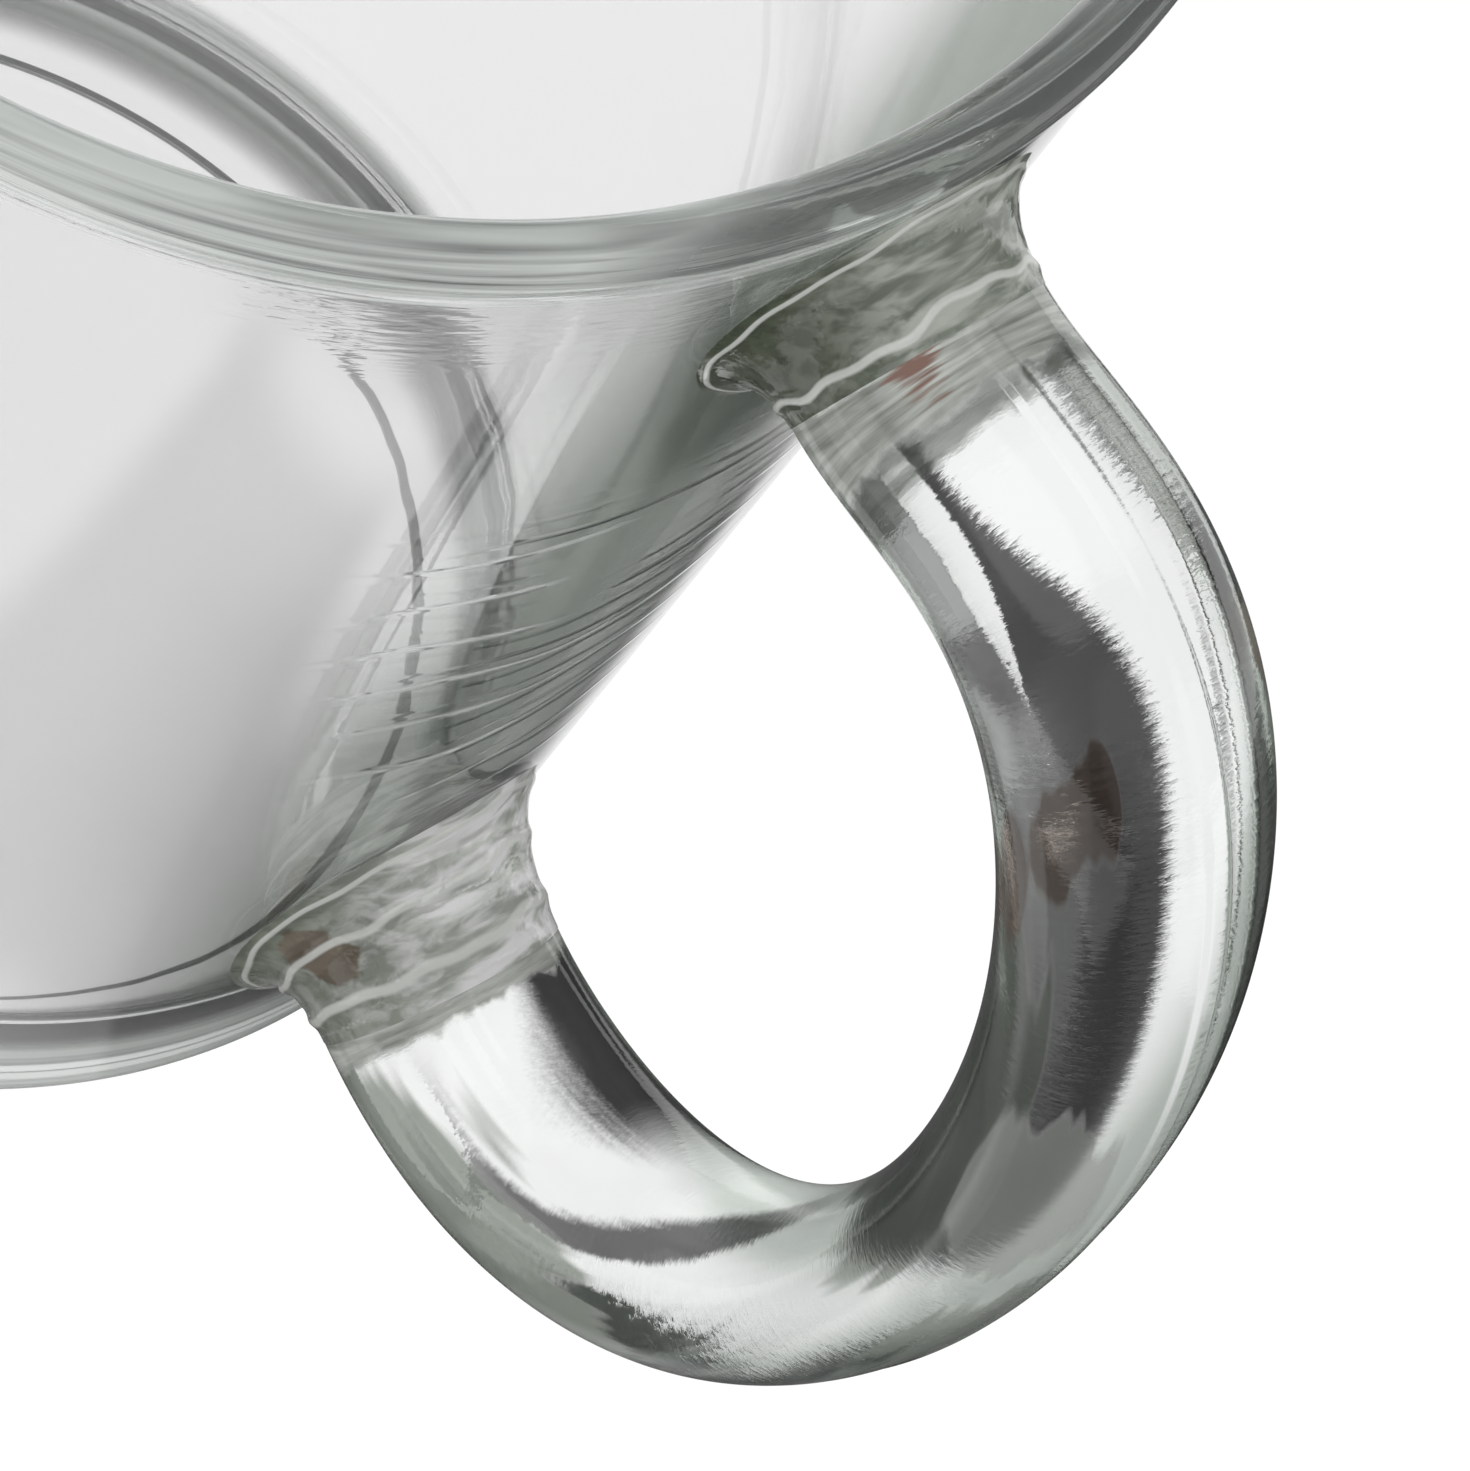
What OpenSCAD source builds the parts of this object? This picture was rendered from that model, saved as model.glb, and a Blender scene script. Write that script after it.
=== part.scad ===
// Glass teacup: a pressed tapered bowl with a fire-polished rim and a heavy
// foot, and a pressed ear handle that two welds of soft glass hold to its wall.
// Millimetres. The cup stands on Z = 0 with its axis on Z, handle towards +X.

/* [Bowl] */
// Diameter across the outside of the rim
rim_d = 85.6; // [76:0.1:100]
// Height from the table to the top of the rim
cup_h = 86; // [76:0.5:105]
// Diameter that the wall's outer face would have at the table
foot_d = 60.4; // [54:0.1:68]
// Thickness of the wall
wall_t = 2.4; // [1.8:0.1:3]
// Thickness of the rounded bead that fire polishing leaves on the rim
rim_t = 3.2; // [2.8:0.1:4]
// Radius of the hollow where the bead runs into the wall
rim_blend_r = 4; // [2:0.5:6]

/* [Foot] */
// Thickness of the floor in the middle
floor_t = 5; // [3:0.5:9]
// Depth of the hollow under the floor
punt_h = 1.1; // [0.6:0.1:2]
// Width of the flat ring that the cup stands on
ring_w = 2.2; // [1.5:0.1:4]
// Radius of the rounded heel, outside at the table
heel_r = 2.2; // [1:0.1:4]
// Radius inside, where the wall meets the floor
floor_fillet_r = 2.6; // [1.5:0.1:5]

/* [Handle] */
// Distance from the rim down to the middle of the upper weld
upper_weld_drop = 12; // [12:0.5:18]
// Height of the middle of the lower weld on the wall
lower_weld_z = 14.5; // [13.5:0.5:22]
// How far the middle of the bar reaches out from the wall
handle_reach = 30; // [26:0.5:36]
// Half of the bar's thickness, measured in the plane of the loop
bar_half_t = 5; // [4:0.1:5.4]
// Half of the bar's width, measured across the loop
bar_half_w = 6.2; // [4:0.1:8]

/* [Welds] */
// Length of the upper weld along the bar
upper_weld_l = 3.7; // [3:0.1:6]
// Length of the lower weld along the bar
lower_weld_l = 5; // [4:0.1:7]
// How far the upper weld spreads past the bar where it meets the wall
upper_flare = 2.4; // [1:0.1:2.6]
// How far the lower weld spreads past the bar where it meets the wall
lower_flare = 2.4; // [1:0.1:3.5]

/* [Hidden] */

// Steps in a quarter turn of an outline, sides and rings of the bar, and rings
// of a weld
quarter_steps = 8;
bar_sides = 24;
bar_rings = 48;
weld_rings = 8;

// The wall's outer face is one cone, from the heel up to the bead
bead_r = rim_t / 2;
bead_mid_r = rim_d / 2 - bead_r;
bead_z = cup_h - bead_r;
wall_lean = atan((bead_mid_r + wall_t / 2 - foot_d / 2) / bead_z);
floor_z = punt_h + floor_t;
function wall_out(z) = foot_d / 2 + z * tan(wall_lean);
function wall_in(z) = wall_out(z) - wall_t / cos(wall_lean);

// Guide points of the bar's middle line from the upper weld round to the lower
// one: shares of the reach out from the wall, and of the height between welds
route_shares = [
    [0.17, 0.955], [0.465, 0.96], [0.775, 0.86], [1.025, 0.585],
    [1.04, 0.215], [0.815, -0.03], [0.475, -0.105], [0.165, -0.065]
];
// Thickness and width of the bar at both welds and at those points, as shares
thick_shares = [1.07, 1.07, 1.09, 1.11, 1.01, 0.78, 0.90, 1.00, 0.98, 0.98];
width_shares = [1.06, 1.06, 1.08, 1.10, 1.01, 0.82, 0.90, 0.99, 0.98, 0.98];

upper_weld_z = cup_h - upper_weld_drop;
weld_gap_z = upper_weld_z - lower_weld_z;
function off_wall(share) = let(z = lower_weld_z + share[1] * weld_gap_z)
    [wall_out(z) + share[0] * handle_reach, z];

// A smooth cubic curve led by guide values. Each end is mirrored once, so that
// the curve starts and stops on its end values.
function guides(list) = let(n = len(list)) concat(
    [2 * list[0] - list[1]], list, [2 * list[n - 1] - list[n - 2]]
);
function curve(g, t) = let(
    spans = len(g) - 3,
    i = min(floor(t * spans), spans - 1),
    u = t * spans - i
) (
    pow(1 - u, 3) * g[i]
    + (3 * pow(u, 3) - 6 * pow(u, 2) + 4) * g[i + 1]
    + (-3 * pow(u, 3) + 3 * pow(u, 2) + 3 * u + 1) * g[i + 2]
    + pow(u, 3) * g[i + 3]
) / 6;
route = guides([for (s = concat([[0, 1]], route_shares, [[0, 0]])) off_wall(s)]);
thick = guides(thick_shares);
width = guides(width_shares);

// Where along the route the welds end and the bar itself begins and stops
fine_step = 1 / 200;
function stretch(t) = norm(curve(route, t + fine_step) - curve(route, t));
function walk(length, t = 0) =
    length <= 0 ? t : walk(length - stretch(t), t + fine_step);
function walk_back(length, t = 1) =
    length <= 0 ? t : walk_back(length - stretch(t - fine_step), t - fine_step);
bar_start = walk(upper_weld_l);
bar_stop = walk_back(lower_weld_l);

// Points of an arc from angle a to angle b round a centre
function arc(centre, r, a, b) = let(
    n = max(2, ceil(abs(b - a) / 90 * quarter_steps))
) [for (i = [0 : n]) let(turn = a + (b - a) * i / n) centre + r * [cos(turn), sin(turn)]];

// Moves a point from the bead's own frame, upright along the wall, to its place
function on_bead(p) = [
    bead_mid_r + p[0] * cos(wall_lean) + p[1] * sin(wall_lean),
    bead_z - p[0] * sin(wall_lean) + p[1] * cos(wall_lean)
];

// The bead with a hollow on each side of it, from the outer wall to the inner
blend_side = wall_t / 2 + rim_blend_r;
blend_drop = sqrt(pow(bead_r + rim_blend_r, 2) - pow(blend_side, 2));
blend_turn = atan2(blend_drop, blend_side);
bead_outline = [for (p = concat(
    arc([blend_side, -blend_drop], rim_blend_r, 180, 180 - blend_turn),
    arc([0, 0], bead_r, -blend_turn, 180 + blend_turn),
    arc([-blend_side, -blend_drop], rim_blend_r, blend_turn, 0)
)) on_bead(p)];

// Hollow under the floor, standing ring and heel, from the middle outwards
heel_mid_r = wall_out(heel_r) - heel_r / cos(wall_lean);
ring_in_r = heel_mid_r - ring_w;
punt_r = punt_h / 2;
foot_outline = concat(
    [[0, punt_h]],
    arc([ring_in_r - 2 * punt_r, punt_h - punt_r], punt_r, 90, 0),
    arc([ring_in_r, punt_r], punt_r, 180, 270),
    arc([heel_mid_r, heel_r], heel_r, -90, -wall_lean)
);

// Inside, from the wall over the fillet to the middle of the floor
fillet_z = floor_z + floor_fillet_r;
fillet_mid_r = wall_in(fillet_z) - floor_fillet_r / cos(wall_lean);
floor_outline = concat(
    arc([fillet_mid_r, fillet_z], floor_fillet_r, -wall_lean, -90),
    [[0, floor_z]]
);

// Direction of the route at t
function heading(t) = let(
    d = curve(route, min(1, t + fine_step)) - curve(route, max(0, t - fine_step))
) d / norm(d);

// One ring of the bar: an ellipse square to the route
function ring(t) = let(
    p = curve(route, t),
    d = heading(t),
    a = bar_half_t * curve(thick, t),
    b = bar_half_w * curve(width, t)
) [for (i = [0 : bar_sides - 1]) let(turn = 360 * i / bar_sides)
    [p[0] - a * cos(turn) * d[1], b * sin(turn), p[1] + a * cos(turn) * d[0]]];

// A weld leaves the bar's end ring along the bar, turns outwards in a hollow and
// runs into the wall. Its last ring lies a little under the wall's face.
hollow_share = 0.3;
sunk = wall_t / 5;
function on_wall(y, z, under) = [sqrt(pow(wall_out(z) - under, 2) - pow(y, 2)), y, z];
function weld_ring(t, flare, up, s) = let(
    bar = ring(t),
    rise = -heading(t)[1] / heading(t)[0]
) [for (i = [0 : bar_sides - 1]) let(
    turn = 360 * i / bar_sides,
    p = bar[i],
    z = p[2] + rise * (p[0] - wall_out(p[2])),
    foot = on_wall(p[1], z, 0),
    bend = foot + hollow_share * (p - foot),
    end = on_wall(p[1] + flare * sin(turn), z + up * flare * cos(turn), sunk)
) pow(1 - s, 2) * p + 2 * s * (1 - s) * bend + pow(s, 2) * end];

// A closed skin over a row of rings, all with the same number of points
module loft(rings) {
    n = len(rings[0]);
    last = (len(rings) - 1) * n;
    polyhedron([for (r = rings) each r], concat(
        [[for (i = [0 : n - 1]) i]],
        [for (j = [0 : len(rings) - 2]) for (i = [0 : n - 1]) let(
            a = j * n + i,
            b = j * n + (i + 1) % n
        ) each [[a, a + n, b + n], [a, b + n, b]]],
        [[for (i = [n - 1 : -1 : 0]) last + i]]
    ), convexity = 6);
}

module weld(t, flare, up) {
    rings = [for (j = [0 : weld_rings]) weld_ring(t, flare, up, j / weld_rings)];
    color([0.80, 0.86, 0.82, 0.5])
    difference() {
        loft(up > 0 ? [for (j = [weld_rings : -1 : 0]) rings[j]] : rings);
        cylinder(r1 = wall_out(0), r2 = wall_out(cup_h), h = cup_h, $fn = 180);
    }
}

module bowl() {
    color([0.88, 0.93, 0.90, 0.35])
    rotate_extrude($fn = 180)
    polygon(concat(foot_outline, bead_outline, floor_outline));
}

module handle() {
    color([0.86, 0.91, 0.88, 0.4])
    loft([for (i = [0 : bar_rings])
        ring(bar_start + (bar_stop - bar_start) * i / bar_rings)]);
}

module upper_weld() {
    weld(bar_start, upper_flare, 1);
}

module lower_weld() {
    weld(bar_stop, lower_flare, -1);
}

bowl();
handle();
upper_weld();
lower_weld();
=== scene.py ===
import math

import bmesh
import bpy
import numpy as np
from mathutils import Matrix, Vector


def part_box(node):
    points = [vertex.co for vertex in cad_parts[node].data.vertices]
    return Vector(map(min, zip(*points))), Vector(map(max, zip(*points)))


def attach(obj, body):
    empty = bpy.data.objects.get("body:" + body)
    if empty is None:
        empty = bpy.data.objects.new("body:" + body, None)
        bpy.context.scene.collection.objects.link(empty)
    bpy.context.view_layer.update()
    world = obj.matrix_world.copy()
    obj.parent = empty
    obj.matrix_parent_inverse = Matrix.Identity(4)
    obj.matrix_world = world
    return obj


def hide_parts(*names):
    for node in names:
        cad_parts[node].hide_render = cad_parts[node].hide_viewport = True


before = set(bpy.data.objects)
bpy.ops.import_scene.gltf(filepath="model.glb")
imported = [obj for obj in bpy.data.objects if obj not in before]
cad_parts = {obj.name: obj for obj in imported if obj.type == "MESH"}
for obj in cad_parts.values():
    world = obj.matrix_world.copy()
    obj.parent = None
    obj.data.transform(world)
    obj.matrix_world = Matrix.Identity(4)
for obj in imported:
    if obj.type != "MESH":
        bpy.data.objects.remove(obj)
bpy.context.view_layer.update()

MM = 0.001

# Camera
# A long lens 1.5 m away looks down on the handle side from 53 degrees. It is
# rolled until the cup leans to the right, as in the photograph.
CAMERA_AZIMUTH = -61.44
CAMERA_HEIGHT = 53.0
CAMERA_ROLL = 25.74
CAMERA_AWAY = 1.5
CAMERA_LENS = 818.1
CAMERA_SENSOR = 36.0
CAMERA_AIM = (30.79, 24.62, 5.20)
CAMERA_NEAR = 0.1
CAMERA_FAR = 20.0


def direction(azimuth, height):
    """Unit vector towards an azimuth and a height above the table, in degrees."""
    a, h = math.radians(azimuth), math.radians(height)
    return np.array([math.cos(h) * math.cos(a), math.cos(h) * math.sin(a), math.sin(h)])


camera = bpy.data.objects.new("camera", bpy.data.cameras.new("camera"))
bpy.context.scene.collection.objects.link(camera)
back = direction(CAMERA_AZIMUTH, CAMERA_HEIGHT)
level = direction(CAMERA_AZIMUTH + 90, 0)
roll = math.radians(CAMERA_ROLL)
right = math.cos(roll) * level + math.sin(roll) * np.cross(back, level)
place = np.eye(4)
place[:3, 0], place[:3, 1], place[:3, 2] = right, np.cross(back, right), back
place[:3, 3] = np.array(CAMERA_AIM) * MM + back * CAMERA_AWAY
camera.matrix_world = Matrix(place.tolist())
camera.data.lens = CAMERA_LENS
camera.data.sensor_width = CAMERA_SENSOR
camera.data.clip_start = CAMERA_NEAR
camera.data.clip_end = CAMERA_FAR
bpy.context.scene.camera = camera

# Bowl
# One pressing of clear soda-lime glass: a tapered wall, a heavy floor with a
# standing ring, and a rim that a flame has melted to a round bead.
CUP_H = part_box("bowl")[1][2] / MM
RIM_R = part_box("bowl")[1][0] / MM
FOOT_R = 30.2
WALL_T = 2.4
BEAD_R = 1.6
RIM_BLEND_R = 4.0
PUNT_H = 1.1
FLOOR_Z = 6.1
RING_W = 2.2
HEEL_R = 2.2
FLOOR_FILLET_R = 2.6
BOWL_SIDES = 320
WALL_STEP = 1.0
SMALL_ARC_STEPS = 8
WIDE_ARC_STEPS = 16
BEAD_STEPS = 48

BEAD_MID_R = RIM_R - BEAD_R
BEAD_Z = CUP_H - BEAD_R
WALL_LEAN = math.atan((BEAD_MID_R + WALL_T / 2 - FOOT_R) / BEAD_Z)


def wall_out(z):
    """Radius of the wall's outer face at a height."""
    return FOOT_R + z * math.tan(WALL_LEAN)


def wall_in(z):
    """Radius of the wall's inner face at a height."""
    return wall_out(z) - WALL_T / math.cos(WALL_LEAN)


def arc(centre, radius, start, stop, steps):
    """Points of an arc between two angles in degrees."""
    turns = np.radians(np.linspace(start, stop, steps + 1))
    return np.array(centre) + radius * np.stack([np.cos(turns), np.sin(turns)], 1)


def straight(start, stop, step):
    """Points strictly between two points, about a step apart."""
    count = max(2, int(np.linalg.norm(np.array(stop) - np.array(start)) / step))
    return np.linspace(start, stop, count + 1)[1:-1]


def bowl_outline():
    """The bowl's half section from the axis underneath to the axis on the floor."""
    lean = math.degrees(WALL_LEAN)
    c, s = math.cos(WALL_LEAN), math.sin(WALL_LEAN)
    heel = (wall_out(HEEL_R) - HEEL_R / c, HEEL_R)
    ring_in = heel[0] - RING_W
    punt_r = PUNT_H / 2
    side = WALL_T / 2 + RIM_BLEND_R
    drop = math.sqrt((BEAD_R + RIM_BLEND_R) ** 2 - side**2)
    turn = math.degrees(math.atan2(drop, side))
    bead = np.concatenate([
        arc((side, -drop), RIM_BLEND_R, 180, 180 - turn, SMALL_ARC_STEPS),
        arc((0, 0), BEAD_R, -turn, 180 + turn, BEAD_STEPS)[1:-1],
        arc((-side, -drop), RIM_BLEND_R, turn, 0, SMALL_ARC_STEPS),
    ])
    bead = np.stack([
        BEAD_MID_R + bead[:, 0] * c + bead[:, 1] * s,
        BEAD_Z - bead[:, 0] * s + bead[:, 1] * c,
    ], 1)
    fillet_z = FLOOR_Z + FLOOR_FILLET_R
    fillet = (wall_in(fillet_z) - FLOOR_FILLET_R / c, fillet_z)
    under = np.concatenate([
        arc((ring_in - 2 * punt_r, PUNT_H - punt_r), punt_r, 90, 0, SMALL_ARC_STEPS),
        arc((ring_in, punt_r), punt_r, 180, 270, SMALL_ARC_STEPS),
        arc(heel, HEEL_R, -90, -lean, WIDE_ARC_STEPS),
    ])
    inside = arc(fillet, FLOOR_FILLET_R, -lean, -90, WIDE_ARC_STEPS)
    return np.concatenate([
        [[0, PUNT_H]],
        straight((0, PUNT_H), under[0], 2 * WALL_STEP),
        under,
        straight(under[-1], bead[0], WALL_STEP),
        bead,
        straight(bead[-1], inside[0], WALL_STEP),
        inside,
        straight(inside[-1], (0, FLOOR_Z), 2 * WALL_STEP),
        [[0, FLOOR_Z]],
    ])


def spun(outline, sides):
    """Points and faces of an outline turned round the Z axis, with both poles."""
    turns = np.linspace(0, 2 * math.pi, sides, endpoint=False)
    rings = outline[1:-1]
    points = [(0, 0, outline[0][1])]
    for r, z in rings:
        points += [(r * math.cos(t), r * math.sin(t), z) for t in turns]
    points.append((0, 0, outline[-1][1]))
    last = len(points) - 1
    end = 1 + (len(rings) - 1) * sides
    faces = [(0, 1 + (i + 1) % sides, 1 + i) for i in range(sides)]
    faces += [(last, end + i, end + (i + 1) % sides) for i in range(sides)]
    for j in range(len(rings) - 1):
        a, b = 1 + j * sides, 1 + (j + 1) * sides
        faces += [(a + i, a + (i + 1) % sides, b + (i + 1) % sides, b + i) for i in range(sides)]
    return np.array(points), faces


def piece(name, points, faces):
    """A smooth closed mesh object from points in millimetres, faces outwards."""
    mesh = bpy.data.meshes.new(name)
    mesh.from_pydata((np.asarray(points) * MM).tolist(), [], faces)
    shell = bmesh.new()
    shell.from_mesh(mesh)
    bmesh.ops.recalc_face_normals(shell, faces=shell.faces)
    shell.to_mesh(mesh)
    shell.free()
    mesh.shade_smooth()
    obj = bpy.data.objects.new(name, mesh)
    bpy.context.scene.collection.objects.link(obj)
    return obj


def linear(colour):
    """A linear RGBA colour from an sRGB hex value."""
    shares = [int(colour[i:i + 2], 16) / 255 for i in (1, 3, 5)]
    return [v / 12.92 if v <= 0.04045 else ((v + 0.055) / 1.055) ** 2.4 for v in shares] + [1.0]


def mm(lengths):
    """Lengths in millimetres as metres."""
    return tuple(v * MM for v in lengths)


def add(tree, kind, settings=None, links=None):
    """Adds a node with its settings, and sets or links its inputs."""
    node = tree.nodes.new(kind)
    for key, value in (settings or {}).items():
        setattr(node, key, value)
    for key, value in (links or {}).items():
        if isinstance(value, bpy.types.NodeSocket):
            tree.links.new(value, node.inputs[key])
        else:
            node.inputs[key].default_value = value
    return node


def worked(tree, operation, *values):
    """One step of arithmetic on some values."""
    return add(tree, "ShaderNodeMath", {"operation": operation}, dict(enumerate(values))).outputs[0]


def ramp(tree, value, span, low=0.0, high=1.0, kind="LINEAR"):
    """From low to high while a value goes over its span, and level outside it."""
    return add(tree, "ShaderNodeMapRange", {"interpolation_type": kind}, {
        "Value": value, "From Min": span[0], "From Max": span[1], "To Min": low, "To Max": high,
    }).outputs[0]


def smooth(tree, value, span, low=0.0, high=1.0):
    """The same as a soft step, without corners."""
    return ramp(tree, value, span, low, high, "SMOOTHSTEP")


def blend(tree, share, first, second):
    """A colour from the first one, at a share of nought, to the second one."""
    return add(tree, "ShaderNodeMix", {"data_type": "RGBA"}, {
        0: share, 6: first, 7: second,
    }).outputs[2]


def noise(tree, where, grain, detail, **more):
    """Noise with grains of so many millimetres: one size, or one for each axis."""
    scale = 1.0
    if isinstance(grain, tuple):
        where = add(tree, "ShaderNodeMapping", None, {
            "Vector": where, "Scale": tuple(1 / (size * MM) for size in grain),
        }).outputs[0]
    else:
        scale = 1 / (grain * MM)
    return add(tree, "ShaderNodeTexNoise", None, {
        "Vector": where, "Scale": scale, "Detail": detail, **more,
    }).outputs[0]


def bump(tree, height, depth, under=None):
    """A normal for a height of nought to one, so many millimetres deep, over another."""
    node = add(tree, "ShaderNodeBump", None, {
        "Strength": 1.0, "Distance": depth * MM, "Height": height,
    })
    if under is not None:
        tree.links.new(under, node.inputs["Normal"])
    return node.outputs[0]


def grazing(tree, span):
    """How much a spot is seen at a low angle, from nought to one over a span."""
    facing = add(tree, "ShaderNodeLayerWeight", None, {"Blend": 0.5}).outputs["Facing"]
    return smooth(tree, facing, span)


def soda_lime(name, tint, clear):
    """Clear glass that takes on its tint over a depth in mm, and is open at a joint.

    Returns the material, its tree and the body node."""
    material = bpy.data.materials.new(name)
    material.use_nodes = True
    tree = material.node_tree
    tree.nodes.clear()
    body = add(tree, "ShaderNodeBsdfPrincipled", None, {
        "Roughness": 0.0, "IOR": GLASS_IOR, "Transmission Weight": 1.0,
    })
    joint = add(tree, "ShaderNodeAttribute", {"attribute_name": "joint"}).outputs["Fac"]
    mix = add(tree, "ShaderNodeMixShader", None, {
        0: worked(tree, "GREATER_THAN", joint, 0.0),
        1: body.outputs[0],
        2: add(tree, "ShaderNodeBsdfTransparent").outputs[0],
    })
    depth = add(tree, "ShaderNodeVolumeAbsorption", None, {
        "Color": linear(tint), "Density": 1 / (clear * MM),
    })
    add(tree, "ShaderNodeOutputMaterial", None, {
        "Surface": mix.outputs[0], "Volume": depth.outputs[0],
    })
    return material, tree, body


def fire_polished_glass():
    """Pressed in an iron mould, then flamed: chill ripples on the wall, fine lines
    round the rim where the flame has drawn the glass, and soft streaks in the foot.
    The bead, a line under it, the ripple crests and the foot's streaks are pale and
    cloudy as painted light, and the wall greys at a low angle as painted shade."""
    material, tree, body = soda_lime("fire_polished_glass", BOWL_TINT, BOWL_CLEAR)
    where = add(tree, "ShaderNodeTexCoord").outputs["Object"]
    height = add(tree, "ShaderNodeSeparateXYZ", None, {0: where}).outputs["Z"]
    towards = add(tree, "ShaderNodeVectorMath", {"operation": "DOT_PRODUCT"}, {
        0: where, 1: tuple(direction(RIPPLE_AZIMUTH, 0)),
    }).outputs["Value"]
    flat = add(tree, "ShaderNodeVectorMath", {"operation": "MULTIPLY"}, {0: where, 1: (1, 1, 0)})
    from_axis = add(tree, "ShaderNodeVectorMath", {"operation": "LENGTH"}, {0: flat.outputs[0]})

    # Broad waves of the wall, long upwards and short round the cup
    skin = bump(tree, noise(tree, where, WAVE_GRAIN, 2.0), WAVE_H)

    # Chill ripples: narrow level ridges that wander a little and come in patches, on
    # the side that the handle is on and below its upper weld
    wander = noise(tree, where, WANDER_GRAIN, 1.0)
    rise = worked(tree, "MULTIPLY_ADD", wander, RIPPLE_WANDER * MM, height)
    steps = worked(tree, "MULTIPLY", rise, 1 / (RIPPLE_GAP * MM))
    ridge = smooth(tree, worked(tree, "PINGPONG", steps, 0.5), (0.0, RIPPLE_HALF_W), 1.0, 0.0)
    patches = ramp(tree, noise(tree, where, PATCH_GRAIN, 0.0), PATCH_NOISE)
    beside = worked(
        tree, "MULTIPLY", smooth(tree, towards, mm(RIPPLE_SIDE)),
        smooth(tree, height, mm(RIPPLE_TOP), 1.0, 0.0),
    )
    ripple = worked(tree, "MULTIPLY", ridge, worked(tree, "MULTIPLY", patches, beside))
    skin = bump(tree, ripple, RIPPLE_H, skin)

    # Fine ripples just under the rim
    peel = noise(tree, where, PEEL_GRAIN, 2.0)
    peeled = worked(tree, "MULTIPLY", peel, smooth(tree, height, mm(UNDER_RIM)))
    skin = bump(tree, peeled, PEEL_H, skin)

    # Drawn lines on the rim, which run round the bead. Along them the bead is pale and a little
    # cloudy, a painted light for the light that the wall leads up into it
    on_rim = smooth(tree, height, mm(ON_RIM))
    drawn = worked(tree, "MULTIPLY", noise(tree, where, DRAWN_GRAIN, 2.0), on_rim)
    skin = bump(tree, drawn, DRAWN_H, skin)
    tree.links.new(skin, body.inputs["Normal"])
    cloudy = ramp(tree, drawn, DRAWN_NOISE, *DRAWN_CLEAR)

    # A painted highlight: a thin pale, cloudy line in the hollow under the bead
    off_line = worked(tree, "SUBTRACT", height, HIGHLIGHT_LINE_Z * MM)
    off_line = worked(tree, "ABSOLUTE", off_line)
    line = smooth(tree, off_line, mm(HIGHLIGHT_LINE_EDGE), HIGHLIGHT_LINE_CLOUD, 0.0)
    rim_clear = worked(tree, "MULTIPLY", cloudy, worked(tree, "SUBTRACT", 1.0, line))

    # The rim is clear where it faces the handle
    at_handle = smooth(tree, towards, mm(HANDLE_SIDE), 0.0, HANDLE_SIDE_CLEAR)
    rim_clear = worked(tree, "MAXIMUM", rim_clear, at_handle)

    # Painted highlight: the crests of the chill ripples are pale and a little cloudy, so that they
    # show as light lines
    crest_highlight_clear = worked(tree, "MULTIPLY_ADD", ripple, -RIPPLE_CREST_HIGHLIGHT, 1.0)

    # Soft level streaks round the outside of the foot, pale and cloudy: a painted light that lightens
    # the foot
    on_foot = worked(
        tree, "MULTIPLY", smooth(tree, from_axis.outputs["Value"], mm(FOOT_OUTSIDE)),
        smooth(tree, height, mm(FOOT_TOP), 1.0, 0.0),
    )
    streak = ramp(tree, noise(tree, where, FOOT_GRAIN, 2.0), FOOT_NOISE, *FOOT_CLOUD)
    foot_clear = worked(tree, "SUBTRACT", 1.0, worked(tree, "MULTIPLY", on_foot, streak))

    clear = worked(tree, "MULTIPLY", rim_clear, crest_highlight_clear)
    clear = worked(tree, "MULTIPLY", clear, foot_clear)
    tree.links.new(clear, body.inputs["Transmission Weight"])
    # The bead, the line under it, the ripple crests and the foot's streaks take the painted light tint
    pale = worked(tree, "MAXIMUM", on_rim, line)
    pale = worked(tree, "MAXIMUM", pale, ripple)
    pale = worked(tree, "MAXIMUM", pale, on_foot)
    # Painted shade: the wall, not the foot, greys at a low angle
    low = grazing(tree, BOWL_GRAZING)
    low = worked(tree, "MULTIPLY", low, smooth(tree, height, mm(ABOVE_FOOT)))
    shade = blend(tree, low, WHITE, linear(BOWL_EDGE_SHADE))
    tree.links.new(blend(tree, pale, shade, linear(PAINTED_LIGHT_TINT)), body.inputs["Base Color"])
    return material


WHITE = (1, 1, 1, 1)
GLASS_IOR = 1.52
BOWL_TINT = "#bcc3bf"
BOWL_CLEAR = 110.0
# Grey that the wall takes at a low angle, a painted shade
BOWL_EDGE_SHADE = "#8c948b"
BOWL_GRAZING = (0.57, 0.74)
# Pale tint of the bead, the line under it, the ripple crests and the foot's streaks: painted light
PAINTED_LIGHT_TINT = "#edf2ee"
# Grains and heights of the bumps, in mm
WAVE_GRAIN = (9, 9, 40)
WAVE_H = 0.025
RIPPLE_AZIMUTH = 2
RIPPLE_GAP = 4.4
RIPPLE_HALF_W = 0.09
RIPPLE_WANDER = 5
RIPPLE_H = 0.014
WANDER_GRAIN = 16
PATCH_GRAIN = 11
PATCH_NOISE = (0.34, 0.5)
PEEL_GRAIN = (3, 3, 0.5)
PEEL_H = 0.008
DRAWN_GRAIN = (20, 20, 0.25)
DRAWN_H = 0.03
FOOT_GRAIN = (30, 30, 0.9)
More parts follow.
